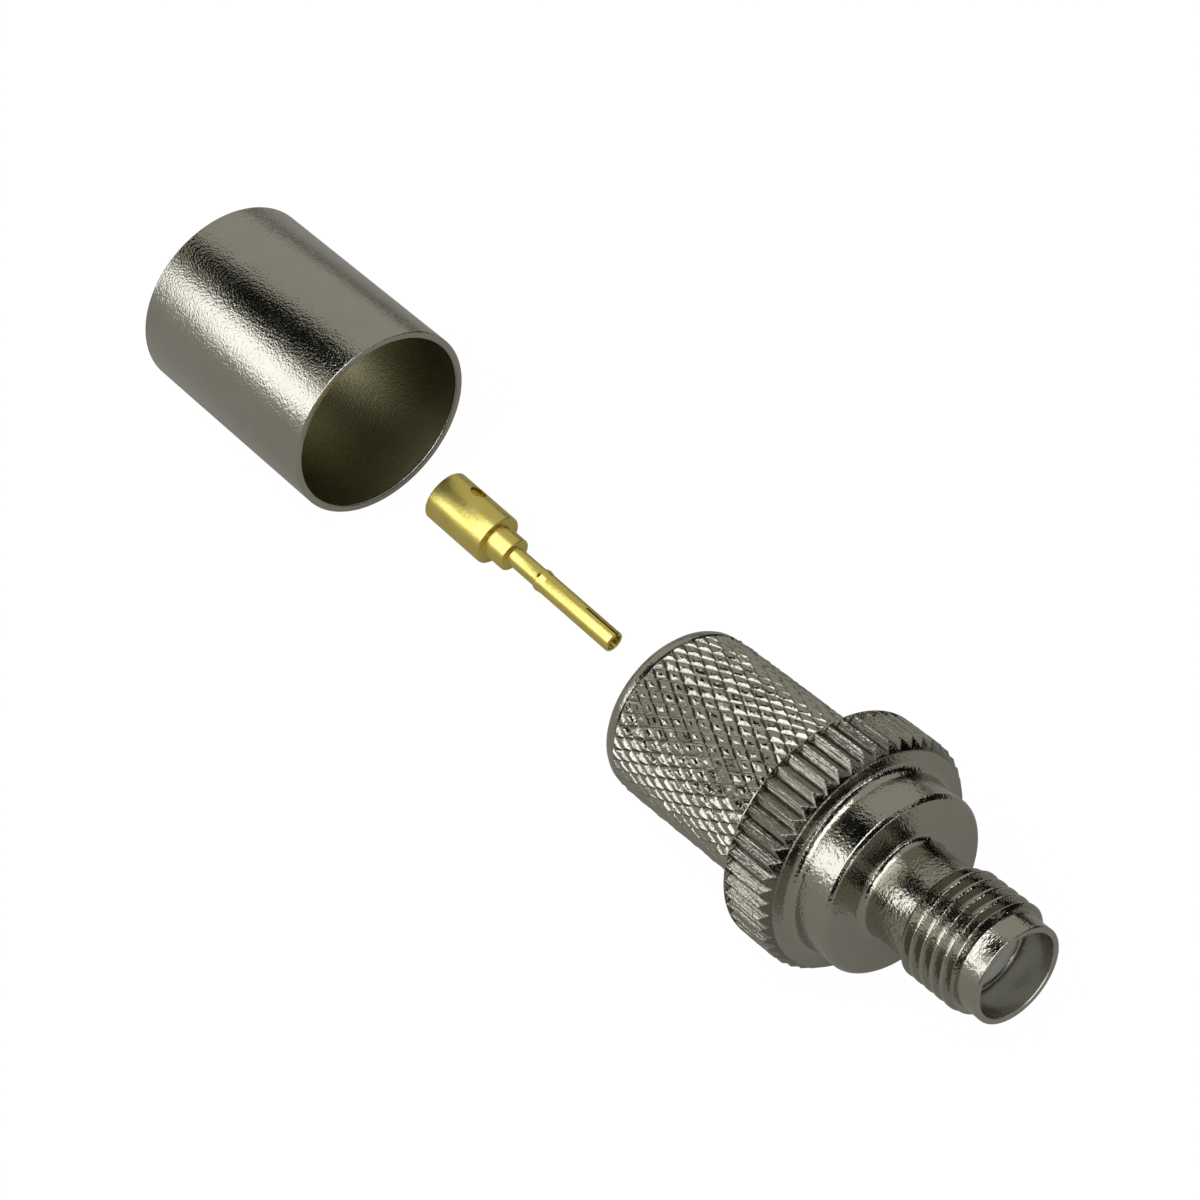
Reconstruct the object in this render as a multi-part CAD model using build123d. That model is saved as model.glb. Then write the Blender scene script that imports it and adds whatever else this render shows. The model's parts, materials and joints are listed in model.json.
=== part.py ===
from build123d import *
import math
import os

# Crimp jack for a coaxial cable, laid out as a kit on a table: a turned connector body with its
# insulator pressed in, a loose socket contact and a loose crimp ferrule.
# All sizes are in millimetres. Every turned piece is drawn with its axis along +X, rear end at zero.

# Connector body, from the cable end to the mating end
stem_length = 12.4
stem_diameter = 9.9
stem_rim_rounding = 0.6
stem_bore_diameter = 7.5
stem_bore_chamfer = 0.2
collar_length = 3.2
collar_diameter = 13.4
collar_chamfer_length = 0.55
collar_chamfer_depth = 0.42
flange_length = 2.5
flange_diameter = 10.26
flange_root_chamfer = 0.36
flange_chamfer = 0.2
neck_length = 2.9
neck_diameter = 5.42
neck_root_chamfer = 0.3
thread_length = 3.8
thread_major_diameter = 6.3
thread_start_chamfer = 0.42
thread_end_chamfer = 0.2
lip_length = 1.2
lip_diameter = 5.4
lip_chamfer = 0.1
mating_bore_diameter = 4.6
mating_bore_depth = 2.0
mating_bore_chamfer = 0.1

# Straight V flutes round the collar
flute_count = 50
flute_depth = 0.38
flute_included_angle = 90.0

# Socket contact, from the crimp barrel to the slotted tip
barrel_length = 4.47
barrel_diameter = 3.2
barrel_edge_chamfer = 0.08
conductor_bore_diameter = 2.8
conductor_bore_depth = 3.6
drill_point_angle = 118.0
inspection_hole_diameter = 1.0
inspection_hole_station = 1.9
inspection_hole_roll = -29.0
shoulder_length = 1.45
shoulder_diameter = 2.12
shoulder_chamfer = 0.1
neck_groove_length = 2.18
neck_groove_diameter = 1.18
barb_length = 0.6
barb_diameter = 1.38
socket_length = 5.48
socket_diameter = 1.27
socket_tip_chamfer = 0.1
socket_bore_diameter = 0.93
socket_bore_depth = 3.0
socket_mouth_chamfer = 0.04
slot_width = 0.28
slot_length = 2.5
slot_roll = -14.0

# Insulator, a plain plug that fills the body from the cavity to the mating bore
insulator_diameter = 4.1
insulator_clearance = 0.01
insulator_bore_clearance = 0.03
insulator_lead_in = 0.25
contact_tip_setback = 0.1

# Crimp ferrule, a plain tube with broken edges
ferrule_length = 14.69
ferrule_diameter = 12.0
ferrule_wall = 0.45
ferrule_outer_chamfer = 0.12
ferrule_inner_chamfer = 0.08

# Places on the table, with the body at the origin and pointing along +X
contact_tip_gap = 8.43
contact_tip_side = 2.79
contact_heading = 5.4
ferrule_gap = 3.67
ferrule_front_side = -0.28
ferrule_heading = 3.0

# Stations along the body
collar_start = stem_length
collar_end = collar_start + collar_length
flange_end = collar_end + flange_length
thread_start = flange_end + neck_length
thread_end = thread_start + thread_length
body_length = thread_end + lip_length
mating_bore_floor = body_length - mating_bore_depth

# Stations along the contact
shoulder_end = barrel_length + shoulder_length
barb_start = shoulder_end + neck_groove_length
socket_start = barb_start + barb_length
contact_length = socket_start + socket_length

# The contact's shoulder seats on the insulator's rear face when the kit is put together
insulator_length = contact_length - shoulder_end + contact_tip_setback
cavity_depth = mating_bore_floor - insulator_length


def turned(outline):
    """A solid of revolution about X, from (station, radius) points of half its section."""
    points = [(station, radius, 0) for station, radius in outline]
    section = make_face(Polyline(*points, close=True))
    return revolve(section, Axis.X, 360)


def rim(piece, station, diameter):
    """The circular edges of a turned piece at one station and one diameter."""
    def lies_there(edge):
        return (
            edge.geom_type == GeomType.CIRCLE
            and abs(edge.arc_center.X - station) < 1e-4
            and abs(edge.radius - diameter / 2) < 1e-4
        )
    return piece.edges().filter_by(lies_there)


def body_outline():
    """Half section of the connector body, round its outside and back through its bores."""
    stem_radius = stem_diameter / 2
    collar_radius = collar_diameter / 2
    thread_radius = thread_major_diameter / 2
    neck_radius = neck_diameter / 2
    lip_radius = lip_diameter / 2
    cavity_radius = stem_bore_diameter / 2
    insulator_radius = insulator_diameter / 2
    mating_radius = mating_bore_diameter / 2
    return [
        (0, cavity_radius),
        (0, stem_radius),
        (collar_start, stem_radius),
        (collar_start, collar_radius),
        (collar_end - collar_chamfer_length, collar_radius),
        (collar_end, collar_front_radius()),
        (collar_end, flange_diameter / 2),
        (flange_end, flange_diameter / 2),
        (flange_end, neck_radius),
        (thread_start, neck_radius),
        (thread_start + thread_start_chamfer, thread_radius),
        (thread_end - thread_end_chamfer, thread_radius),
        (thread_end, thread_radius - thread_end_chamfer),
        (thread_end, lip_radius),
        (body_length, lip_radius),
        (body_length, mating_radius),
        (mating_bore_floor, mating_radius),
        (mating_bore_floor, insulator_radius),
        (cavity_depth, insulator_radius),
        (cavity_depth, cavity_radius),
    ]


def collar_front_radius():
    """Radius of the collar's flat front face, inside its chamfer."""
    return collar_diameter / 2 - collar_chamfer_depth


def flange_root_width():
    """Width of the easing between collar and flange, which the collar's front face leaves room for."""
    face_width = collar_front_radius() - flange_diameter / 2
    return min(flange_root_chamfer, 0.8 * face_width)


def flute_mouth():
    """Width of a flute where it breaks the collar's outside."""
    return 2 * flute_depth * math.tan(math.radians(flute_included_angle / 2))


def flute_cutters():
    """One V bar for each flute, laid round the collar with a flute at the very bottom."""
    half = math.tan(math.radians(flute_included_angle / 2))
    overshoot = flute_depth
    root = collar_diameter / 2 - flute_depth
    top = collar_diameter / 2 + overshoot
    reach = (top - root) * half
    profile = Plane.YZ * make_face(Polyline((0, root), (reach, top), (-reach, top), close=True))
    bar = Pos(collar_start - overshoot, 0, 0) * extrude(profile, collar_length + 2 * overshoot)
    pitch = 360 / flute_count
    return [Rot(180 + pitch * index, 0, 0) * bar for index in range(flute_count)]


def make_connector_body():
    """The one-piece turned body: knurled stem, fluted collar, flange, neck, thread and lip."""
    body = turned(body_outline())
    body = fillet(rim(body, 0, stem_diameter), stem_rim_rounding)
    body = chamfer(rim(body, 0, stem_bore_diameter), stem_bore_chamfer)
    body = chamfer(rim(body, collar_end, flange_diameter), flange_root_width())
    body = chamfer(rim(body, flange_end, flange_diameter), flange_chamfer)
    body = chamfer(rim(body, flange_end, neck_diameter), neck_root_chamfer)
    body = chamfer(rim(body, body_length, lip_diameter), lip_chamfer)
    body = chamfer(rim(body, body_length, mating_bore_diameter), mating_bore_chamfer)
    return body - flute_cutters()


def make_insulator():
    """The plastic plug that holds the contact on the axis, in its place inside the body."""
    radius = insulator_diameter / 2 - insulator_clearance
    bore_radius = socket_diameter / 2 + insulator_bore_clearance
    plug = Pos(cavity_depth, 0, 0) * turned([
        (0, bore_radius),
        (0, radius),
        (insulator_length, radius),
        (insulator_length, bore_radius),
    ])
    return chamfer(rim(plug, cavity_depth, 2 * bore_radius), insulator_lead_in)


def contact_blank():
    """The contact as it is turned, before its holes and slots."""
    blank = turned([
        (0, 0),
        (0, barrel_diameter / 2),
        (barrel_length, barrel_diameter / 2),
        (barrel_length, shoulder_diameter / 2),
        (shoulder_end, shoulder_diameter / 2),
        (shoulder_end, neck_groove_diameter / 2),
        (barb_start, neck_groove_diameter / 2),
        (barb_start, barb_diameter / 2),
        (socket_start, socket_diameter / 2),
        (contact_length, socket_diameter / 2),
        (contact_length, 0),
    ])
    for end in (0, barrel_length):
        blank = chamfer(rim(blank, end, barrel_diameter), barrel_edge_chamfer)
    blank = chamfer(rim(blank, shoulder_end, shoulder_diameter), shoulder_chamfer)
    return chamfer(rim(blank, contact_length, socket_diameter), socket_tip_chamfer)


def conductor_bore():
    """The drilled hole in the crimp barrel, with the cone that a drill leaves."""
    radius = conductor_bore_diameter / 2
    point = radius / math.tan(math.radians(drill_point_angle / 2))
    return turned([(0, 0), (0, radius), (conductor_bore_depth - point, radius), (conductor_bore_depth, 0)])


def socket_bore():
    """The hole for the mating pin, with its broken mouth."""
    radius = socket_bore_diameter / 2
    floor = contact_length - socket_bore_depth
    return turned([
        (floor, 0),
        (floor, radius),
        (contact_length - socket_mouth_chamfer, radius),
        (contact_length, radius + socket_mouth_chamfer),
        (contact_length, 0),
    ])


def inspection_hole():
    """The cross hole that shows whether the conductor is home."""
    reach = barrel_diameter / 2
    hole = Cylinder(inspection_hole_diameter / 2, reach, align=(Align.CENTER, Align.CENTER, Align.MIN))
    return Rot(inspection_hole_roll, 0, 0) * Pos(inspection_hole_station, 0, 0) * hole


def saw_cut():
    """One cut through the tip, which leaves two spring fingers."""
    bar = Box(slot_length, slot_width, 2 * socket_diameter, align=(Align.MAX, Align.CENTER, Align.CENTER))
    return Rot(slot_roll, 0, 0) * Pos(contact_length, 0, 0) * bar


def make_contact():
    """The gold-plated socket contact, one turned piece."""
    return contact_blank() - [conductor_bore(), socket_bore(), inspection_hole(), saw_cut()]


def make_ferrule():
    """The crimp ferrule, a thin tube."""
    outer = ferrule_diameter
    inner = ferrule_diameter - 2 * ferrule_wall
    tube = turned([
        (0, inner / 2),
        (0, outer / 2),
        (ferrule_length, outer / 2),
        (ferrule_length, inner / 2),
    ])
    for end in (0, ferrule_length):
        tube = chamfer(rim(tube, end, outer), ferrule_outer_chamfer)
        tube = chamfer(rim(tube, end, inner), ferrule_inner_chamfer)
    return tube


def lie_on(rear_rim, front_rim):
    """Tilt in degrees, nose up, and height of the axis at zero, for a piece that lies on two rims.

    A rim is the station and radius of its rounding's centre, and the rounding itself.
    """
    rear_station, rear_radius, rear_rounding = rear_rim
    front_station, front_radius, front_rounding = front_rim
    run = front_station - rear_station
    rise = front_radius - rear_radius
    tilt = math.atan2(rise, run) + math.asin((front_rounding - rear_rounding) / math.hypot(run, rise))
    height = rear_rounding + rear_radius * math.cos(tilt) - rear_station * math.sin(tilt)
    return math.degrees(tilt), height


def body_lie():
    """The body lies on its stem's rear rim and on the two flute crests at the collar's rear."""
    crest_radius = math.sqrt((collar_diameter / 2) ** 2 - (flute_mouth() / 2) ** 2)
    stem_rim = (stem_rim_rounding, stem_diameter / 2 - stem_rim_rounding, stem_rim_rounding)
    return lie_on(stem_rim, (collar_start, crest_radius, 0))


def contact_lie():
    """The contact lies nose down, on its crimp barrel's front rim and on its tip."""
    barrel_rim = (barrel_length - barrel_edge_chamfer, barrel_diameter / 2, 0)
    tip_rim = (contact_length - socket_tip_chamfer, socket_diameter / 2, 0)
    return lie_on(barrel_rim, tip_rim)


def place(tilt, heading, x, y, height):
    """The move that lays a piece on the table."""
    return Pos(x, y, height) * Rot(0, 0, heading) * Rot(0, -tilt, 0)


def body_place():
    tilt, height = body_lie()
    return place(tilt, 0, 0, 0, height)


def contact_place():
    """The contact's tip keeps its gap to the body's rear."""
    tilt, height = contact_lie()
    heading = math.radians(contact_heading)
    floor_length = contact_length * math.cos(math.radians(tilt))
    x = -contact_tip_gap - floor_length * math.cos(heading)
    y = contact_tip_side - floor_length * math.sin(heading)
    return place(tilt, contact_heading, x, y, height)


def ferrule_place():
    """The ferrule's front end keeps its gap to the contact's rear."""
    heading = math.radians(ferrule_heading)
    x = contact_place().position.X - ferrule_gap - ferrule_length * math.cos(heading)
    y = ferrule_front_side - ferrule_length * math.sin(heading)
    return place(0, ferrule_heading, x, y, ferrule_diameter / 2)


def lay_out():
    """All pieces where they lie, with the middle of the kit's footprint at the origin."""
    pieces = {
        "connector_body": body_place() * make_connector_body(),
        "insulator": body_place() * make_insulator(),
        "contact": contact_place() * make_contact(),
        "crimp_ferrule": ferrule_place() * make_ferrule(),
    }
    middle = Compound(children=[Part(piece.wrapped) for piece in pieces.values()]).bounding_box().center()
    to_middle = Pos(-middle.X, -middle.Y, 0)
    return {name: to_middle * piece for name, piece in pieces.items()}, to_middle


os.makedirs("parts", exist_ok=True)
kit, kit_shift = lay_out()
for name, piece in kit.items():
    export_step(piece, f"parts/{name}.step")
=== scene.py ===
# %% [markdown]
# # A crimp jack laid out as a kit
#
# Three loose things lie in a line on a white table: a thin tube that is crimped over a cable's
# braid, a gold socket contact that is crimped on the cable's wire, and the turned connector body.
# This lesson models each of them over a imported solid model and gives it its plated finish.
#
# The first cell loads the solid model. It is the fixed frame: nothing in it is moved or changed.

# %% Load the frame
import json
import math
import bpy
from mathutils import Matrix, Vector


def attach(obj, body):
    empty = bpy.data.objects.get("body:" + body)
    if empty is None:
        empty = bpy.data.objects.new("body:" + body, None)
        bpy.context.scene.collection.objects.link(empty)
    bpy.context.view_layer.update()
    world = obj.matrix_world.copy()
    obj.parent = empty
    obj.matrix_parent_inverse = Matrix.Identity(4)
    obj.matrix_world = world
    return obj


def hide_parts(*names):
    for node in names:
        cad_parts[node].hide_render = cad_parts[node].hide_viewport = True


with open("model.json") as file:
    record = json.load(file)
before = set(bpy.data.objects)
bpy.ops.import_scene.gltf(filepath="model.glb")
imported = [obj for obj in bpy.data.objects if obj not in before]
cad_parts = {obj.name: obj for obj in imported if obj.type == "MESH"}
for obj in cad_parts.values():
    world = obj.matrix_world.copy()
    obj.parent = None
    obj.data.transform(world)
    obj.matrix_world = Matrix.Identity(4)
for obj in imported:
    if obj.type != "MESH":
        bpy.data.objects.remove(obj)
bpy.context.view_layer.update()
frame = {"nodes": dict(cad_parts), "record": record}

print("solids", sorted(frame["nodes"]))

# %% [markdown]
# ## Where each piece lies
#
# The solid model comes with its mating places, each with a point and an axis. They say exactly how
# each piece lies, so a turned piece can be drawn along the X axis, with its rear end at zero, and
# laid in place at the end. A station is a distance along that axis. Sizes are written in
# millimetres and made metres in one place.

# %% Axes of the pieces
MM = 0.001
THREAD_MIDDLE = 23.01
SOCKET_MIDDLE = 12.68
FERRULE_MIDDLE = 7.345
mates = {mate["name"]: mate for mate in frame["record"]["mounts"]}


def lying(mate_name, station, forward=1):
    """The matrix that lays a piece drawn along X over the mate that sits at a station of it."""
    mate = mates[mate_name]
    along = Vector(mate["axis"]).normalized() * forward
    side = Vector((0, 0, 1)).cross(along).normalized()
    turn = Matrix((along, side, along.cross(side))).transposed().to_4x4()
    return Matrix.Translation(Vector(mate["pos_m"]) - along * station * MM) @ turn


BODY_PLACE = lying("coupling_thread", THREAD_MIDDLE)
CONTACT_PLACE = lying("pin_socket", SOCKET_MIDDLE)
FERRULE_PLACE = lying("ferrule_bore", FERRULE_MIDDLE, -1)
for name, place in (("body", BODY_PLACE), ("contact", CONTACT_PLACE), ("ferrule", FERRULE_PLACE)):
    print(name, "rear at", [round(v * 1000, 2) for v in place.translation])

# %% [markdown]
# ## Choosing and applying
#
# Two things come back all the time when a model is built in code: choosing vertices, edges or faces
# by where they are, and applying a modifier. Both get a helper. An operator acts on everything
# that is selected, so the first helper of all clears the selection.

# %% Helpers for editing
def deselect():
    if bpy.context.object and bpy.context.object.mode != "OBJECT":
        bpy.ops.object.mode_set(mode="OBJECT")
    bpy.ops.object.select_all(action="DESELECT")


def take(piece):
    """Select one piece alone and make it the active one."""
    deselect()
    piece.select_set(True)
    bpy.context.view_layer.objects.active = piece


def choose(piece, test, kind="VERT"):
    """In edit mode, select the vertices, edges or faces for which the test holds."""
    bpy.ops.object.mode_set(mode="EDIT")
    bpy.ops.mesh.select_mode(type=kind)
    bpy.ops.mesh.select_all(action="DESELECT")
    bpy.ops.object.mode_set(mode="OBJECT")
    mesh = piece.data
    items = {"VERT": mesh.vertices, "EDGE": mesh.edges, "FACE": mesh.polygons}[kind]
    count = 0
    for item in items:
        if test(item):
            item.select = True
            count += 1
    bpy.ops.object.mode_set(mode="EDIT")
    return count


def runs_along(piece, edge, least):
    """Whether an edge is longer along the X axis than the given millimetres."""
    first, second = (piece.data.vertices[index].co for index in edge.vertices)
    return abs(first.x - second.x) > least * MM


def apply_modifier(piece, kind, **settings):
    """Add a modifier, set it and apply it, as its panel does."""
    take(piece)
    modifier = piece.modifiers.new(kind.title(), kind)
    for key, value in settings.items():
        setattr(modifier, key, value)
    bpy.ops.object.modifier_apply(modifier=modifier.name)


# %% [markdown]
# ## Drawing and turning an outline
#
# A lathe makes these pieces, and the spin tool does the same here: half of the section is drawn
# as a chain of points and swung round the axis. The chain starts from a plane whose corners are
# merged to one vertex, and each further point is extruded from the last.
#
# A lathe never leaves a truly sharp corner. Each corner may have a radius, and the arc's points
# are worked out here, because a thin bright line along an edge makes turned metal look real.

# %% Rounding an outline's corners
def rounded(corners, segments=4):
    """Points of an outline in millimetres, with the corners that give a radius made arcs."""
    points = []
    for i, corner in enumerate(corners):
        here = Vector(corner[:2])
        radius = corner[2] if len(corner) > 2 else 0
        if not radius:
            points.append(here)
            continue
        before = (Vector(corners[i - 1][:2]) - here).normalized()
        after = (Vector(corners[(i + 1) % len(corners)][:2]) - here).normalized()
        half = before.angle(after) / 2
        reach = radius / math.tan(half)
        middle = here + (before + after).normalized() * radius / math.sin(half)
        start, end = here + before * reach - middle, here + after * reach - middle
        sweep = start.angle_signed(end)
        for step in range(segments + 1):
            points.append(middle + Matrix.Rotation(-sweep * step / segments, 2) @ start)
    return points


# %% Drawing an outline and swinging it round
STEPS = 200
MERGE = 1e-6


def drawn(name, points):
    """A closed chain of vertices through the points, drawn by extruding one vertex."""
    deselect()
    bpy.ops.mesh.primitive_plane_add(size=MM, location=(0, 0, 0))
    piece = bpy.context.object
    piece.name = name
    bpy.ops.object.mode_set(mode="EDIT")
    bpy.ops.mesh.select_mode(type="VERT")
    bpy.ops.mesh.select_all(action="SELECT")
    bpy.ops.mesh.merge(type="CENTER")
    bpy.ops.transform.translate(value=(points[0].x * MM, 0, points[0].y * MM))
    for here, there in zip(points, points[1:]):
        step = (there - here) * MM
        bpy.ops.mesh.extrude_region_move(TRANSFORM_OT_translate={"value": (step.x, 0, step.y)})
    last = len(points) - 1
    choose(piece, lambda vertex: vertex.index in (0, last))
    bpy.ops.mesh.edge_face_add()
    return piece


def turned(name, corners, steps=STEPS, segments=4):
    """A turned piece: the outline swung once round the X axis, its seam merged."""
    piece = drawn(name, rounded(corners, segments))
    bpy.ops.mesh.select_all(action="SELECT")
    bpy.ops.mesh.spin(steps=steps, angle=math.tau, center=(0, 0, 0), axis=(1, 0, 0))
    bpy.ops.mesh.select_all(action="SELECT")
    bpy.ops.mesh.remove_doubles(threshold=MERGE)
    bpy.ops.mesh.normals_make_consistent(inside=False)
    deselect()
    print(name, len(piece.data.vertices), "vertices")
    return piece


# %% [markdown]
# ## Laying a finished piece
#
# A finished piece is shaded smooth but for its sharp edges, and laid over its solid. Then its place
# is applied to its mesh, so that its object sits at the origin and its patterns can't slide. It is
# hung under the root, and the solid it stands for is hidden.

# %% Helper that hands a piece to the frame
SMOOTH_BELOW = math.radians(28)


def laid(piece, place, node):
    """Smooth a finished piece, lay it in its place and hand it to the frame."""
    take(piece)
    bpy.ops.object.shade_smooth_by_angle(angle=SMOOTH_BELOW)
    piece.matrix_world = place
    bpy.ops.object.transform_apply(location=True, rotation=True, scale=True)
    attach(piece, "root")
    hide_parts(node)
    piece.data.calc_loop_triangles()
    print(piece.name, "in place,", len(piece.data.loop_triangles), "triangles")


# %% [markdown]
# ## The connector body's turned blank
#
# The real body is one piece from a lathe. It is drawn here as one outline: up from the cable bore,
# along the stem, the collar's core, the flange, the neck, the thread's core and the lip, and back
# through the mating bore and the bore behind the insulator. Each corner is a station, a distance
# from the axis and, where the edge is broken, a radius.
#
# The knurl, the flutes and the thread are made next and sink a little into this blank, so no gap
# can show between them. The blank brings the plain rim of the stem and a thin ring behind the
# flutes, because both are smooth on the real one.

# %% Turn the blank
STEM = [(0.08, 3.75, 0.12), (0.08, 4.84, 0.8), (1.04, 4.84), (1.17, 4.70), (12.37, 4.70)]
COLLAR_CORE = [(12.37, 6.68, 0.03), (12.45, 6.68), (12.45, 5.9), (15.3, 5.9), (15.596, 6.19)]
FLANGE = [(15.596, 5.13, 0.5), (17.88, 5.13, 0.18), (18.1, 4.93, 0.18)]
NECK = [(18.1, 2.71, 0.4), (21.0, 2.71)]
THREAD_CORE = [(21.1, 2.74), (24.76, 2.74), (24.8, 2.72)]
LIP = [(26.06, 2.74, 0.1), (26.06, 2.38, 0.06)]
MATING_BORE = [(24.0, 2.38), (23.9, 2.3), (23.9, 2.1), (24.0, 2.1), (24.0, 2.05)]
CABLE_BORE = [(15.64, 2.05), (15.64, 3.75)]
blank = turned(
    "blank",
    STEM + COLLAR_CORE + FLANGE + NECK + THREAD_CORE + LIP + MATING_BORE + CABLE_BORE,
    segments=5,
)

# %% [markdown]
# ## The diamond knurl
#
# The cable's braid is clamped on the stem, and a diamond knurl keeps it from slipping: 42 diamonds
# round, in half steps of 0.71 mm along. A plain cylinder is cut into a grid of half diamonds, and
# un-subdivide then takes every second vertex away, which leaves a net of diamonds. Each diamond is
# inset and raised three times, less steeply each time, so it has flanks and a rounded top like a
# rolled knurl. A texture would be quicker, but its outline would stay a plain cylinder's.

# %% Net of diamonds
KNURL_ROUND = 42
KNURL_STEP = 0.71
KNURL_START = 1.1
KNURL_ROWS = 16
KNURL_BASE = 4.745
KNURL_LENGTH = KNURL_ROWS * KNURL_STEP


def knurl_net():
    """A cylinder with a net of diamonds on it, in place along the stem."""
    deselect()
    bpy.ops.mesh.primitive_cylinder_add(
        vertices=2 * KNURL_ROUND, radius=KNURL_BASE * MM, depth=KNURL_LENGTH * MM,
        end_fill_type="NOTHING", location=(KNURL_START * MM + KNURL_LENGTH * MM / 2, 0, 0),
        rotation=(0, math.pi / 2, 0),
    )
    net = bpy.context.object
    net.name = "knurl"
    bpy.ops.object.transform_apply(location=True, rotation=True, scale=True)
    choose(net, lambda edge: runs_along(net, edge, KNURL_LENGTH / 2), "EDGE")
    bpy.ops.mesh.subdivide(number_cuts=KNURL_ROWS - 1)
    bpy.ops.mesh.select_all(action="SELECT")
    bpy.ops.mesh.unsubdivide(iterations=1)
    bpy.ops.object.mode_set(mode="OBJECT")
    return net


knurl = knurl_net()
print("diamonds", len(knurl.data.polygons))

# %% Raise the diamonds
KNURL_RISES = ((0.08, 0.085), (0.08, 0.055), (0.09, 0.03))
bpy.ops.object.mode_set(mode="EDIT")
bpy.ops.mesh.select_mode(type="FACE")
bpy.ops.mesh.select_all(action="SELECT")
for inset, rise in KNURL_RISES:
    bpy.ops.mesh.inset(thickness=inset * MM, depth=rise * MM, use_individual=True)
deselect()
print("knurl", len(knurl.data.polygons), "faces")

# %% [markdown]
# A rolled knurl is never perfect: the metal tears and folds a little, most of all beside the
# collar, where the tool was lifted. So the raised vertices are moved a little at random, and more
# near the collar.

# %% Wear the knurl
RAISED = 4.78
KNURL_WEAR = ((0.0, 0.034, 3), (9.4, 0.04, 5), (11.2, 0.07, 8))


def is_raised(vertex, start):
    away = math.hypot(vertex.co.y, vertex.co.z)
    return away > RAISED * MM and vertex.co.x > start * MM


for start, amount, seed in KNURL_WEAR:
    moved = choose(knurl, lambda vertex: is_raised(vertex, start))
    bpy.ops.transform.vertex_random(offset=amount * MM, uniform=0.0, normal=0.0, seed=seed)
    print("moved", moved, "vertices past", start, "mm")
deselect()

# %% [markdown]
# ## The fluted collar
#
# Fingers or pliers hold the collar by its 50 straight V flutes. It starts as a cylinder with two
# vertices for each flute. Every second line of them is drawn in towards the axis, which gives the
# V shape. One cutter copied 50 times would do it too, with far more faces to clean up.
#
# The lathe then cut a chamfer over the front, so the flutes end in a zigzag: at the front, the
# crests are moved back along the chamfer's slope, and a last ring leads down to the flat face.

# %% Cut the flutes
FLUTES = 50
CREST, ROOT = 6.7, 6.32
COLLAR_REAR, COLLAR_FRONT = 12.4, 15.53


def is_crest(vertex):
    """Crests lie on odd half steps, so that a root is at the very bottom."""
    angle = math.atan2(vertex.co.y, vertex.co.z)
    return round(angle / (math.pi / FLUTES)) % 2 == 1


def scale_round(factor):
    """Scale what is selected towards the axis, and leave its stations."""
    bpy.ops.transform.resize(value=(1, factor, factor), center_override=(0, 0, 0))


def move_along(distance):
    bpy.ops.transform.translate(value=(distance * MM, 0, 0))


def fluted_cylinder():
    deselect()
    bpy.ops.mesh.primitive_cylinder_add(
        vertices=2 * FLUTES, radius=CREST * MM, depth=(COLLAR_FRONT - COLLAR_REAR) * MM,
        end_fill_type="NOTHING", location=((COLLAR_REAR + COLLAR_FRONT) / 2 * MM, 0, 0),
        rotation=(0, math.pi / 2, 0),
    )
    flutes = bpy.context.object
    flutes.name = "collar"
    bpy.ops.object.transform_apply(location=True, rotation=True, scale=True)
    choose(flutes, lambda vertex: not is_crest(vertex))
    scale_round(ROOT / CREST)
    return flutes


collar = fluted_cylinder()
print("collar", len(collar.data.vertices), "vertices")

# %% Chamfer the ends
CHAMFER_LENGTH, REAR_CHAMFER_LENGTH, CHAMFER_DEPTH = 0.55, 0.02, 0.42
CHAMFER_INNER = CREST - CHAMFER_DEPTH
FRONT_CLOSING, FRONT_CROWN = 6.18, 0.067
REAR_CLOSING = 4.9
NEAR = 0.01


def chamfer_end(flutes, station, length, closing, crown=0.0):
    """Draw one end of the flutes back along a chamfer, and close it with a ring."""
    kinds = ((True, CREST), (False, ROOT))
    vertices = flutes.data.vertices
    ring = {v.index for v in vertices if abs(v.co.x - station * MM) < NEAR * MM}
    for crest, radius in kinds:
        choose(flutes, lambda v: v.index in ring and is_crest(v) == crest)
        move_along(-length * (radius - CHAMFER_INNER) / CHAMFER_DEPTH)
    choose(flutes, lambda edge: all(v in ring for v in edge.vertices), "EDGE")
    bpy.ops.mesh.extrude_region_move()
    bpy.ops.object.mode_set(mode="OBJECT")
    rim = {v.index for v in flutes.data.vertices if v.select}
    for crest, radius in kinds:
        choose(flutes, lambda v: v.index in rim and is_crest(v) == crest)
        scale_round(CHAMFER_INNER / radius)
        move_along(length * (radius - CHAMFER_INNER) / CHAMFER_DEPTH)
    choose(flutes, lambda v: v.index in rim)
    bpy.ops.mesh.extrude_region_move()
    scale_round(closing / CHAMFER_INNER)
    move_along(crown)


chamfer_end(collar, COLLAR_FRONT, CHAMFER_LENGTH, FRONT_CLOSING, FRONT_CROWN)
chamfer_end(collar, COLLAR_REAR, -REAR_CHAMFER_LENGTH, REAR_CLOSING)
print("collar", len(collar.data.vertices), "vertices with its ends")

# %% [markdown]
# The flutes were pressed by a hard wheel, which leaves their crests slightly torn. So their long
# edges are cut in short lengths and moved a little at random before every edge is broken.

# %% Wear and break the edges
LONG_EDGE = 1.5
FLUTE_CUTS = 11
FLUTE_WEAR = 0.022
WORN_FROM, WORN_TO = COLLAR_REAR + 0.35, COLLAR_FRONT - 0.6
EDGE_BREAK = 0.055
EDGE_ANGLE = math.radians(24)

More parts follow.
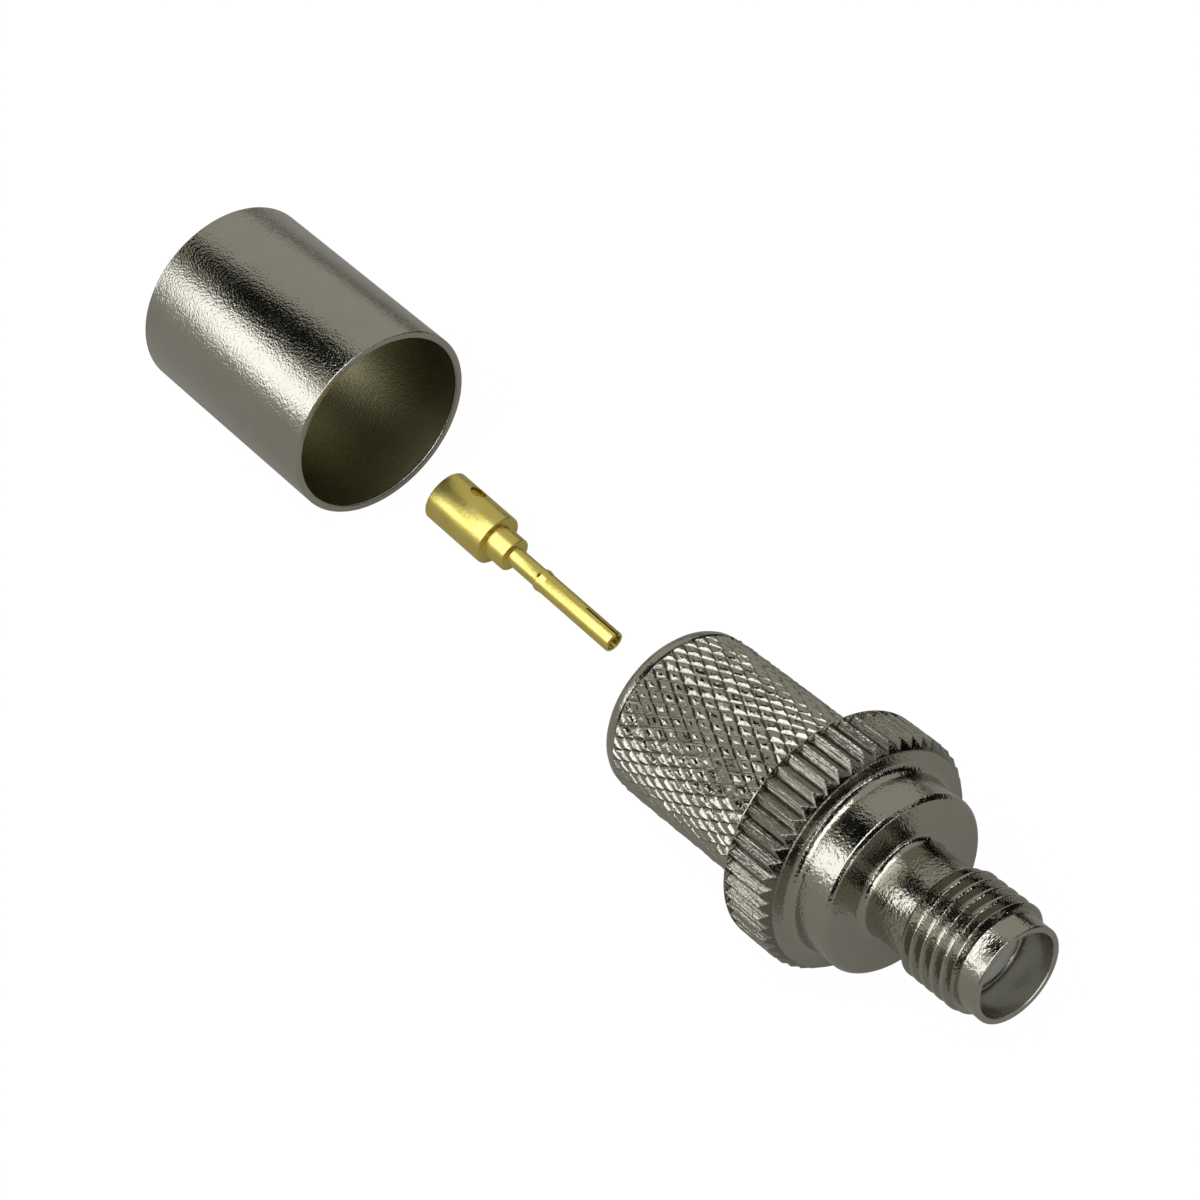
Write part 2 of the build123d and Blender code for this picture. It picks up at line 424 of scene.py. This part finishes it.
choose(collar, lambda edge: runs_along(collar, edge, LONG_EDGE), "EDGE")
bpy.ops.mesh.subdivide(number_cuts=FLUTE_CUTS)
bpy.ops.object.mode_set(mode="OBJECT")
choose(collar, lambda v: WORN_FROM * MM < v.co.x < WORN_TO * MM)
bpy.ops.transform.vertex_random(offset=FLUTE_WEAR * MM, uniform=0.0, normal=0.0, seed=4)
bpy.ops.mesh.select_all(action="SELECT")
bpy.ops.mesh.normals_make_consistent(inside=False)
deselect()
apply_modifier(
    collar, "BEVEL", width=EDGE_BREAK * MM, segments=2, limit_method="ANGLE",
    angle_limit=EDGE_ANGLE,
)
print("collar", len(collar.data.polygons), "faces")

# %% [markdown]
# ## The coupling thread
#
# The thread is a V ridge that winds round its core once in each 0.7056 mm. The screw modifier winds
# the ridge's section. The ends of a real thread are cut by the same chamfers as the rod, so the
# ridge is wound too long, and only what lies inside a chamfered rod is kept.

# %% Wind the ridge
PITCH = 0.7056
TURNS = 7
THREAD_START = 21.0
RUN_IN = 0.6
ROUND_STEPS = 96
HALF_RIDGE = [
    (-0.31, 2.62), (-0.31, 2.735), (-0.295, 2.762), (-0.085, 3.118), (-0.075, 3.132), (-0.05, 3.15),
]
ridge_points = HALF_RIDGE + [(-along, radius) for along, radius in reversed(HALF_RIDGE)]
ridge = drawn("thread", [Vector(point) for point in ridge_points])
bpy.ops.object.mode_set(mode="OBJECT")
apply_modifier(
    ridge, "SCREW", axis="X", angle=math.tau, screw_offset=PITCH * MM, iterations=TURNS,
    steps=ROUND_STEPS, render_steps=ROUND_STEPS, use_merge_vertices=False,
)
choose(ridge, lambda vertex: False)
bpy.ops.mesh.select_non_manifold()
bpy.ops.mesh.edge_face_add()
bpy.ops.mesh.select_all(action="SELECT")
bpy.ops.mesh.normals_make_consistent(inside=False)
move_along(THREAD_START - RUN_IN)
deselect()
print("ridge", len(ridge.data.vertices), "vertices")

# %% Cut the ridge to the chamfered rod
ROD = [(21.0, 2.5), (21.0, 2.78), (21.42, 3.2), (24.55, 3.2), (24.8, 2.95), (24.8, 2.5)]
rod = turned("rod", ROD, steps=ROUND_STEPS)
apply_modifier(ridge, "BOOLEAN", operation="INTERSECT", object=rod, solver="EXACT")
bpy.data.objects.remove(rod)
print("thread", len(ridge.data.polygons), "faces")

# %% [markdown]
# The four shells are joined to one piece. A boolean and a bevel both leave a few faces with no
# area, which would spoil the mesh for anyone who prints or measures it, so those are dissolved.

# %% Lay the body
NO_LENGTH = 2e-7


def joined(name, pieces):
    deselect()
    for piece in pieces:
        piece.select_set(True)
    bpy.context.view_layer.objects.active = pieces[0]
    bpy.ops.object.join()
    pieces[0].name = name
    return pieces[0]


body = joined("connector_body_part", [blank, knurl, collar, ridge])
choose(body, lambda vertex: True)
bpy.ops.mesh.dissolve_degenerate(threshold=NO_LENGTH)
laid(body, BODY_PLACE, "connector_body")

# %% [markdown]
# ## The insulator
#
# A white plug fills the body behind the mating bore and holds the contact on the axis. It is turned
# like the rest. Only its front face shows, with the hole for the contact.

# %% Turn the insulator
INSULATOR = [
    (15.64, 0.915), (15.64, 2.04, 0.05), (24.0, 2.04, 0.04), (24.0, 0.665, 0.05), (15.89, 0.665),
]
insulator = turned("insulator_part", INSULATOR, steps=ROUND_STEPS, segments=3)
laid(insulator, BODY_PLACE, "insulator")

# %% [markdown]
# ## The socket contact
#
# The contact is turned too: a crimp barrel, a shoulder, a thin neck with a round barb, and a
# socket. Its two holes along the axis belong to the outline. The inspection hole and the saw cut
# aren't round the axis, so a cylinder and a box cut them out.

# %% Turn the contact
BARREL = [(0, 1.4, 0.03), (0, 1.6, 0.06), (4.47, 1.6, 0.09)]
SHOULDER = [(4.47, 1.06, 0.04), (5.92, 1.06, 0.1), (5.92, 0.59, 0.08), (8.1, 0.59)]
BARB = [(8.12, 0.66, 0.02), (8.3, 0.70, 0.1), (8.7, 0.635, 0.03)]
SOCKET = [(14.18, 0.635, 0.11), (14.18, 0.465, 0.04), (11.18, 0.465), (11.18, 0.02)]
WIRE_HOLE = [(3.6, 0.02), (2.76, 1.4)]
contact = turned("contact_part", BARREL + SHOULDER + BARB + SOCKET + WIRE_HOLE, steps=ROUND_STEPS)

# %% Cut its hole and its slot
HOLE_STATION, HOLE_RADIUS, HOLE_MIDDLE, HOLE_DEPTH = 1.9, 0.5, 1.4, 1.8
SLOT_STATION, SLOT_SIZE = 13.03, (2.7, 0.13, 2.2)
HOLE_ROLL, SLOT_ROLL = -29, -14

deselect()
bpy.ops.mesh.primitive_cylinder_add(
    vertices=48, radius=HOLE_RADIUS * MM, depth=HOLE_DEPTH * MM,
    location=(HOLE_STATION * MM, 0, HOLE_MIDDLE * MM),
)
drill = bpy.context.object
bpy.ops.mesh.primitive_cube_add(
    size=1, location=(SLOT_STATION * MM, 0, 0), scale=[side * MM for side in SLOT_SIZE],
)
saw = bpy.context.object
for cutter, roll in ((drill, HOLE_ROLL), (saw, SLOT_ROLL)):
    take(cutter)
    cutter.matrix_world = Matrix.Rotation(math.radians(roll), 4, "X") @ cutter.matrix_world
    bpy.ops.object.transform_apply(location=True, rotation=True, scale=True)
    apply_modifier(contact, "BOOLEAN", operation="DIFFERENCE", object=cutter, solver="EXACT")
    bpy.data.objects.remove(cutter)
laid(contact, CONTACT_PLACE, "contact")

# %% [markdown]
# ## The crimp ferrule
#
# The ferrule is a thin tube, cut and tumbled, so both its rims are slightly round. Its outline is a
# bare rectangle, and the four radii do the rest.

# %% Turn the ferrule
FERRULE = [(0, 5.55, 0.12), (0, 6.0, 0.09), (14.69, 6.0, 0.09), (14.69, 5.55, 0.12)]
ferrule = turned("crimp_ferrule_part", FERRULE)
laid(ferrule, FERRULE_PLACE, "crimp_ferrule")

# %% [markdown]
# ## Shader maths
#
# A plated finish is made of a few patterns that are mixed and scaled. Written out as nodes, that
# is hard to read. So a small class wraps a socket, and plus, minus and times on it add Math nodes.
# One method adds any other node, with its settings first and its sockets after.

# %% A class for shader maths
class Wire:
    """A socket of a material's nodes that can be reckoned with."""

    def __init__(self, tree, socket):
        self.tree = tree
        self.socket = socket

    def node(self, kind, settings=None, sockets=None, output=0):
        made = self.tree.nodes.new(kind)
        for key, value in (settings or {}).items():
            setattr(made, key, value)
        for key, value in (sockets or {}).items():
            if isinstance(value, Wire):
                self.tree.links.new(value.socket, made.inputs[key])
            else:
                made.inputs[key].default_value = value
        return Wire(self.tree, made.outputs[output])

    def maths(self, operation, first, second):
        return self.node("ShaderNodeMath", {"operation": operation}, {0: first, 1: second})

    def __add__(self, other):
        return self.maths("ADD", self, other)

    def __radd__(self, other):
        return self.maths("ADD", other, self)

    def __sub__(self, other):
        return self.maths("SUBTRACT", self, other)

    def __rsub__(self, other):
        return self.maths("SUBTRACT", other, self)

    def __mul__(self, other):
        return self.maths("MULTIPLY", self, other)

    def __rmul__(self, other):
        return self.maths("MULTIPLY", other, self)


# %% [markdown]
# ## Small tools for a finish
#
# Every finish starts the same way: a material, its shader, and a wire that carries the place in
# the object's own coordinates. Noise gives grain and clouds, a mask blends two colours, and a
# bump node turns a height into a relief.

# %% Helpers for a material
def new_material(name):
    """A material, its shader, and a wire that carries the place in the object's coordinates."""
    material = bpy.data.materials.new(name)
    material.use_nodes = True
    tree = material.node_tree
    start = tree.nodes.new("ShaderNodeTexCoord")
    return material, tree.nodes["Principled BSDF"], Wire(tree, start.outputs["Object"])


def link(wire, shader, name):
    wire.tree.links.new(wire.socket, shader.inputs[name])


def paint(piece, material):
    piece.data.materials.clear()
    piece.data.materials.append(material)


def noise(place, scale, detail=2.0, roughness=0.5):
    """Noise whose blobs are about 1 / scale metres wide, round a middle of a half."""
    sockets = {"Vector": place, "Scale": scale, "Detail": detail, "Roughness": roughness}
    return place.node("ShaderNodeTexNoise", None, sockets)


def blend(place, mask, first, second):
    """A colour between two, by a mask."""
    sockets = {0: mask, 6: first, 7: second}
    return place.node("ShaderNodeMix", {"data_type": "RGBA"}, sockets, output=2)


def bump(place, height, shader):
    """A relief whose height is given in millimetres."""
    sockets = {"Strength": 1.0, "Distance": MM, "Height": height}
    link(place.node("ShaderNodeBump", None, sockets), shader, "Normal")


# %% [markdown]
# ## Where a pattern lies on a turned piece
#
# The stem, the flutes and the bores of one body don't look alike, though they have one plating. On
# a turned piece two numbers tell them apart: how far along the axis a point is, and how far from
# it. Vector nodes find both, and a map range node makes a soft step from one to the next. Painting
# by hand would need an unwrapped surface, and these masks don't.

# %% Helpers that find a place on a piece
def vector(place, operation, sockets, output=0):
    return place.node("ShaderNodeVectorMath", {"operation": operation}, sockets, output)


def polar(place, lie):
    """How far along and how far from the axis of a piece a point is, in millimetres."""
    away = vector(place, "SUBTRACT", {0: place, 1: tuple(lie.translation)})
    station = vector(place, "DOT_PRODUCT", {0: away, 1: tuple(lie.to_3x3().col[0])}, 1)
    distance = vector(place, "LENGTH", {0: away}, 1)
    square = distance * distance - station * station
    radius = square.node("ShaderNodeMath", {"operation": "SQRT"}, {0: square})
    return station * 1000.0, radius * 1000.0


def past(value, start, width):
    """0 before the start and 1 after it, with a soft step of the given width."""
    sockets = {"Value": value, "From Min": start, "From Max": start + width}
    return value.node("ShaderNodeMapRange", None, sockets)


def short_of(value, end, width):
    """1 before the end and 0 after it."""
    return 1.0 - past(value, end, width)


# %% [markdown]
# ## Nickel plate
#
# Plated nickel is a warm grey mirror with a fine grain from the brass below it. The grain breaks
# the edges of each reflection into specks, and thin cloudy patches are a little duller. The knurl's
# grooves, the flutes' roots and flanks, the thread and the chamfer over the flutes are darkened in
# the colour as painted shade. The wheel that pressed the flutes drew streaks along their flanks,
# and the bore's wall is painted paler than the plate, as painted light.
#
# First come the masks, one for each place on the body. Then each pattern is mixed in by its mask,
# so every number can be found and changed by itself.

# %% Places on the body
CHAMFER_SLOPE = 0.7636
CHAMFER_REACH = 18.11
nickel, nickel_shader, nickel_place = new_material("nickel_plate")
station, radius = polar(nickel_place, BODY_PLACE)
stem = short_of(station, 12.3, 0.1)
flutes = past(station, 12.46, 0.02) * short_of(station, 15.58, 0.01) * past(radius, 6.2, 0.05)
crests = flutes * past(radius, 6.60, 0.05)
cone = past(radius + station * CHAMFER_SLOPE, CHAMFER_REACH, 0.01) * flutes
flanks = flutes - cone
roots = flutes * short_of(radius, 6.35, 0.07) * short_of(station, 15.1, 0.3)
knurled = stem * past(station, 1.2, 0.1)
grooves = knurled * short_of(radius, 4.73, 0.08) * past(radius, 4.0, 0.1)
threaded = past(station, 21.1, 0.1) * short_of(station, 24.75, 0.05)
threads = threaded * short_of(radius, 3.05, 0.07)
bore = past(station, 23.9, 0.1) * short_of(radius, 2.39, 0.02)
bottom = bore * short_of(station, 24.03, 0.02)
print("nickel masks", len(nickel.node_tree.nodes), "nodes")

# %% Nickel for the body
NICKEL_WARM, NICKEL_PALE = (0.42, 0.405, 0.325, 1), (0.47, 0.46, 0.40, 1)
# The near black that the painted shade darkens the plate towards.
PAINTED_SHADE = (0.05, 0.045, 0.03, 1)
# A paler colour for the bore's wall, painted light in the recess.
BORE_PAINTED_LIGHT = (0.64, 0.63, 0.56, 1)
STREAK_STRETCH = (16.0, 1.0, 1.0)

clouds = noise(nickel_place, 600, 3)
grain = noise(nickel_place, 7000, 1.5)
waves = noise(nickel_place, 2200, 1.0)
drawn_out = nickel_place.node("ShaderNodeMapping", {"vector_type": "TEXTURE"}, {
    "Vector": nickel_place, "Location": BODY_PLACE.translation,
    "Rotation": BODY_PLACE.to_euler(), "Scale": STREAK_STRETCH,
})
streaks = noise(drawn_out, 8000)

bare = blend(nickel_place, clouds, NICKEL_WARM, NICKEL_PALE)
# Painted shade: the knurl's grooves, the flutes' roots and flanks, the thread and the chamfer are
# darkened.
shade_mask = roots * 0.8 + grooves * 0.6 + (flutes - crests) * 0.16 + threads * 0.24 + cone * 0.42
plated = blend(nickel_place, shade_mask, bare, PAINTED_SHADE)
# Painted light: the bore's wall is made paler than the plate.
link(blend(nickel_place, bore, plated, BORE_PAINTED_LIGHT), nickel_shader, "Base Color")

matt = 0.13 + stem * 0.02 + flanks * 0.13 - crests * 0.12 + bore * 0.14 + bottom * 0.2
link(matt + (clouds - 0.5) * 0.10, nickel_shader, "Roughness")

grained = grain * (0.021 + flanks * 0.012 + crests * 0.03)
relief = streaks * flanks * 0.07 + grained + waves * (0.018 + stem * 0.006)
bump(nickel_place, relief * (1.0 - bore * 0.8), nickel_shader)
nickel_shader.inputs["Metallic"].default_value = 1.0
paint(body, nickel)
print("nickel", len(nickel.node_tree.nodes), "nodes")

# %% [markdown]
# The ferrule has the same kind of plate, but it is smoother and a little paler than the body. Its
# inside is matt, and its colour is darkened to an olive as painted shade. A mask by the distance
# from its axis parts the inside from the rest.

# %% Nickel for the ferrule
FERRULE_WARM, FERRULE_PALE = (0.44, 0.425, 0.345, 1), (0.50, 0.49, 0.43, 1)
FERRULE_INSIDE_SHADE = (0.27, 0.25, 0.14, 1)

plate, plate_shader, plate_place = new_material("ferrule_plate")
station, radius = polar(plate_place, FERRULE_PLACE)
inside = short_of(radius, 5.56, 0.03) * past(station, 0.15, 0.1) * short_of(station, 14.5, 0.1)
clouds = noise(plate_place, 500, 3)
outer = blend(plate_place, clouds, FERRULE_WARM, FERRULE_PALE)
# Painted shade: the inside of the tube is coloured dark olive.
link(blend(plate_place, inside, outer, FERRULE_INSIDE_SHADE), plate_shader, "Base Color")
link(0.14 + inside * 0.3 + (clouds - 0.5) * 0.08, plate_shader, "Roughness")
relief = noise(plate_place, 7500, 1.5) * 0.024 + noise(plate_place, 1800, 1.0) * 0.008
bump(plate_place, relief, plate_shader)
plate_shader.inputs["Metallic"].default_value = 1.0
paint(ferrule, plate)
print("ferrule plate", len(plate.node_tree.nodes), "nodes")

# %% [markdown]
# ## Gold for the contact
#
# A thin gold plate keeps the contact from tarnishing. It is a yellow metal that is a little uneven
# in colour and gloss, with hardly any grain, so the same tools do with smaller numbers.

# %% Gold for the contact
GOLD_DEEP, GOLD_PALE = (0.82, 0.66, 0.14, 1), (0.92, 0.78, 0.26, 1)

gold, gold_shader, gold_place = new_material("gold_plate")
clouds = noise(gold_place, 900, 3)
link(blend(gold_place, clouds, GOLD_DEEP, GOLD_PALE), gold_shader, "Base Color")
link(0.22 + clouds * 0.14, gold_shader, "Roughness")
relief = noise(gold_place, 6500, 1.5, 0.4) * 0.005 + noise(gold_place, 1800, 1.0) * 0.004
bump(gold_place, relief, gold_shader)
gold_shader.inputs["Metallic"].default_value = 1.0
paint(contact, gold)
print("gold", len(gold.node_tree.nodes), "nodes")

# %% [markdown]
# ## White plastic for the insulator
#
# The plug is a waxy fluoropolymer. Deep in its bore it only has to look white and half matt.

# %% White plastic for the insulator
WHITE_GREY, WHITE_PALE = (0.74, 0.74, 0.71, 1), (0.80, 0.80, 0.77, 1)

white, white_shader, white_place = new_material("white_insulator")
clouds = noise(white_place, 1500)
link(blend(white_place, clouds, WHITE_GREY, WHITE_PALE), white_shader, "Base Color")
link(0.42 + clouds * 0.1, white_shader, "Roughness")
paint(insulator, white)
print("materials", [material.name for material in bpy.data.materials])

# The camera should see pure white, but the metal should see a darker and warmer ground, or every
# lower edge would shine. So the table is part plain paint and part glow, and the kind of ray
# decides how much of each.

# %% The table
TABLE_SIZE, TABLE_DROP = 3.0, 0.0001
TABLE_PAINT = (0.33, 0.32, 0.29, 1)
TABLE_GLOW = 1.075

deselect()
bpy.ops.mesh.primitive_plane_add(size=TABLE_SIZE, location=(0, 0, -TABLE_DROP))
floor = bpy.context.object
floor.name = "table_top"
floor_paint, floor_shader, floor_place = new_material("table_white")
floor_shader.inputs["Base Color"].default_value = TABLE_PAINT
floor_shader.inputs["Roughness"].default_value = 0.9
floor_shader.inputs["Specular IOR Level"].default_value = 0.0
tree = floor_place.tree
rays = tree.nodes.new("ShaderNodeLightPath")
camera_ray = Wire(tree, rays.outputs["Is Camera Ray"])
glossy_ray = Wire(tree, rays.outputs["Is Glossy Ray"])
clear_ray = Wire(tree, rays.outputs["Is Transmission Ray"])
share = camera_ray * 0.92 + glossy_ray * 0.12 + clear_ray * 0.3
sockets = {"Color": (1, 1, 1, 1), "Strength": TABLE_GLOW}
glow = floor_place.node("ShaderNodeEmission", None, sockets)
plain = Wire(tree, floor_shader.outputs["BSDF"])
mixed_floor = floor_place.node("ShaderNodeMixShader", None, {0: share, 1: plain, 2: glow})
tree.links.new(mixed_floor.socket, tree.nodes["Material Output"].inputs["Surface"])
paint(floor, floor_paint)
print("table", TABLE_SIZE, "m wide")

# %% [markdown]
# ## Lamps and boards
#
# Metal shows what stands round it, so the light matters as much as the finish. A pale warm room
# gives the grey of every turned surface. An oval window to the left draws the bright band along the
# turned pieces, a long skylight over the front of the table lights the flanks of the knurl, and a
# thin strip lamp low on the right draws the line round the collar's face.
#
# Dark boards give the black bands between them, as they do in a photographer's tent. The camera
# doesn't see them. All lamps and boards face the middle of the table.

# %% The room
ROOM_COLOUR, ROOM_STRENGTH = (1, 0.985, 0.91, 1), 0.45

world = bpy.data.worlds.new("room")
bpy.context.scene.world = world
world.use_nodes = True
sky = world.node_tree.nodes["Background"]
sky.inputs["Color"].default_value = ROOM_COLOUR
sky.inputs["Strength"].default_value = ROOM_STRENGTH
print("room strength", ROOM_STRENGTH)


def face_middle(thing, place, front):
    """Turn a thing at a place so that its front axis points at the middle of the table."""
    thing.rotation_mode = "QUATERNION"
    thing.rotation_quaternion = (-Vector(place)).to_track_quat(front, "Y")


# %% Lamps
LAMP_COLOUR = (0.91, 0.93, 1.0)


def lamp(name, shape, place, size, watts):
    """A soft lamp that faces the middle of the table."""
    data = bpy.data.lights.new(name, "AREA")
    data.shape = shape
    data.size, data.size_y = size
    data.energy = watts
    data.color = LAMP_COLOUR
    made = bpy.data.objects.new(name, data)
    bpy.context.scene.collection.objects.link(made)
    made.location = place
    face_middle(made, place, "-Z")


lamp("window", "ELLIPSE", (-0.332, -0.452, 0.228), (0.42, 0.30), 0.57)
lamp("skylight", "RECTANGLE", (0.019, -0.315, 0.450), (0.34, 0.82), 1.9)
lamp("strip", "RECTANGLE", (0.58, 0.03, 0.18), (0.7, 0.04), 0.40)
print("lamps", [light.name for light in bpy.data.lights])


# %% Dark boards
def board(name, place, size, shade):
    """A matt board that the metal shows, out of the camera's sight."""
    deselect()
    bpy.ops.mesh.primitive_plane_add(size=1, location=place)
    made = bpy.context.object
    made.name = name
    made.scale = (size[0], size[1], 1)
    face_middle(made, place, "Z")
    made.visible_camera = False
    material, shader, _ = new_material(name)
    shader.inputs["Base Color"].default_value = (shade, shade, shade, 1)
    shader.inputs["Roughness"].default_value = 1.0
    shader.inputs["Specular IOR Level"].default_value = 0.0
    paint(made, material)


board("dark_ceiling", (-0.30, -0.126, 0.415), (0.27, 0.38), 0.01)
board("dark_horizon", (-0.66, 0.99, 0.09), (1.6, 0.14), 0.05)
board("dark_side", (0.69, 0.40, 0.28), (1.6, 0.55), 0.03)
board("dark_front", (0.40, -0.05, 0.44), (0.6, 0.26), 0.02)
board("dark_corner", (0.40, -0.45, 0.13), (0.42, 0.30), 0.02)
board("dark_back", (0.02, 1.0, 0.19), (0.95, 0.42), 0.02)

# %% [markdown]
# ## The camera
#
# The photograph was taken from the right and about 46 degrees above the table. How much the far
# tube shrinks beside the near body gives the distance, about 17 cm.

# %% The camera
LOOK_AT = Vector((-4.48, 4.71, 0)) * MM
ELEVATION, DISTANCE = math.radians(46.49), 169.82 * MM
HEADING = (0.7885, -0.6151)
FOCAL_LENGTH, SENSOR_WIDTH = 90, 36

level = math.cos(ELEVATION)
back = Vector((HEADING[0] * level, HEADING[1] * level, math.sin(ELEVATION)))
lens = bpy.data.cameras.new("camera")
lens.lens = FOCAL_LENGTH
lens.sensor_width = SENSOR_WIDTH
lens.clip_start, lens.clip_end = 0.005, 10
camera = bpy.data.objects.new("camera", lens)
bpy.context.scene.collection.objects.link(camera)
camera.location = LOOK_AT + back * DISTANCE
camera.rotation_mode = "QUATERNION"
camera.rotation_quaternion = (-back).to_track_quat("-Z", "Y")
bpy.context.scene.camera = camera
bpy.context.scene.view_settings.view_transform = "Standard"
print("camera at", [round(v * 1000, 1) for v in camera.location])

# %% [markdown]
